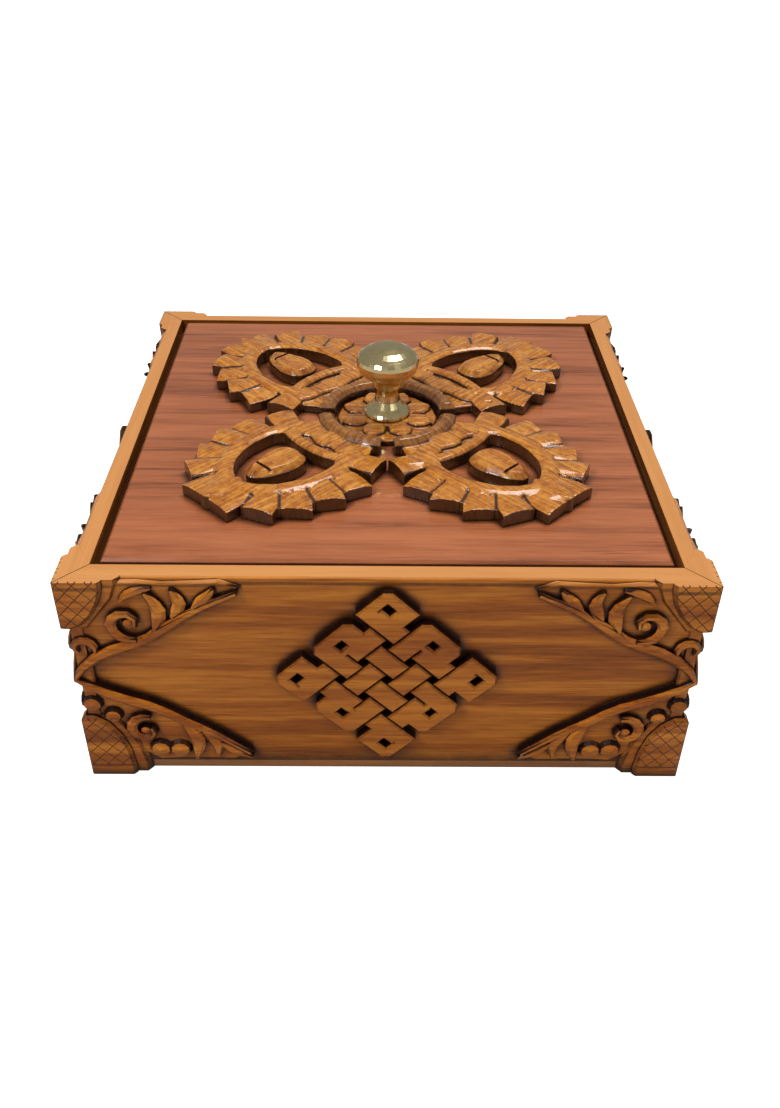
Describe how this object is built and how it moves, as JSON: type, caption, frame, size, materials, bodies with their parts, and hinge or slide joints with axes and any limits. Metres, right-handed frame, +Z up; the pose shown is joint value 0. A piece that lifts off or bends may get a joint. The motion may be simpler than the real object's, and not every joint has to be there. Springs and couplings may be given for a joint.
{
  "type": "carved box",
  "caption": "Square carved wooden box with a lift-off lid, a crossed vajra in relief, endless knots on the walls and a turned brass knob",
  "frame": {"origin": "middle of the underside", "axes": "+Z up, the front wall faces -Y, +X to the right"},
  "size_m": [0.276, 0.276, 0.1561],
  "materials": {
    "carved_wood": "carved, dark-stained recesses, lacquered",
    "plain_wood": "satin",
    "lid_wood": "gloss lacquer",
    "vajra_wood": "carved, gloss lacquer",
    "brass": "satin polished",
    "steel": "plain"
  },
  "bodies": {
    "box": {"front_wall": "carved_wood", "right_wall": "carved_wood", "back_wall": "carved_wood", "left_wall": "carved_wood", "bottom_board": "plain_wood", "ledge_front": "plain_wood", "ledge_right": "plain_wood", "ledge_back": "plain_wood", "ledge_left": "plain_wood", "divider_lengthwise": "plain_wood", "divider_crosswise": "plain_wood"},
    "lid": {"lid_board": "lid_wood", "vajra_arm_back_right": "vajra_wood", "vajra_arm_back_left": "vajra_wood", "vajra_arm_front_left": "vajra_wood", "vajra_arm_front_right": "vajra_wood", "vajra_prong_back_right": "vajra_wood", "vajra_prong_back_left": "vajra_wood", "vajra_prong_front_left": "vajra_wood", "vajra_prong_front_right": "vajra_wood", "vajra_rosette": "vajra_wood", "knob": "brass", "knob_washer": "steel", "knob_screw": "steel"}
  },
  "joints": [
    {"name": "lid_lift", "type": "slide", "parent": "box", "child": "lid", "axis": [0, 0, 1], "range_m": [0, 0.08]}
  ]
}
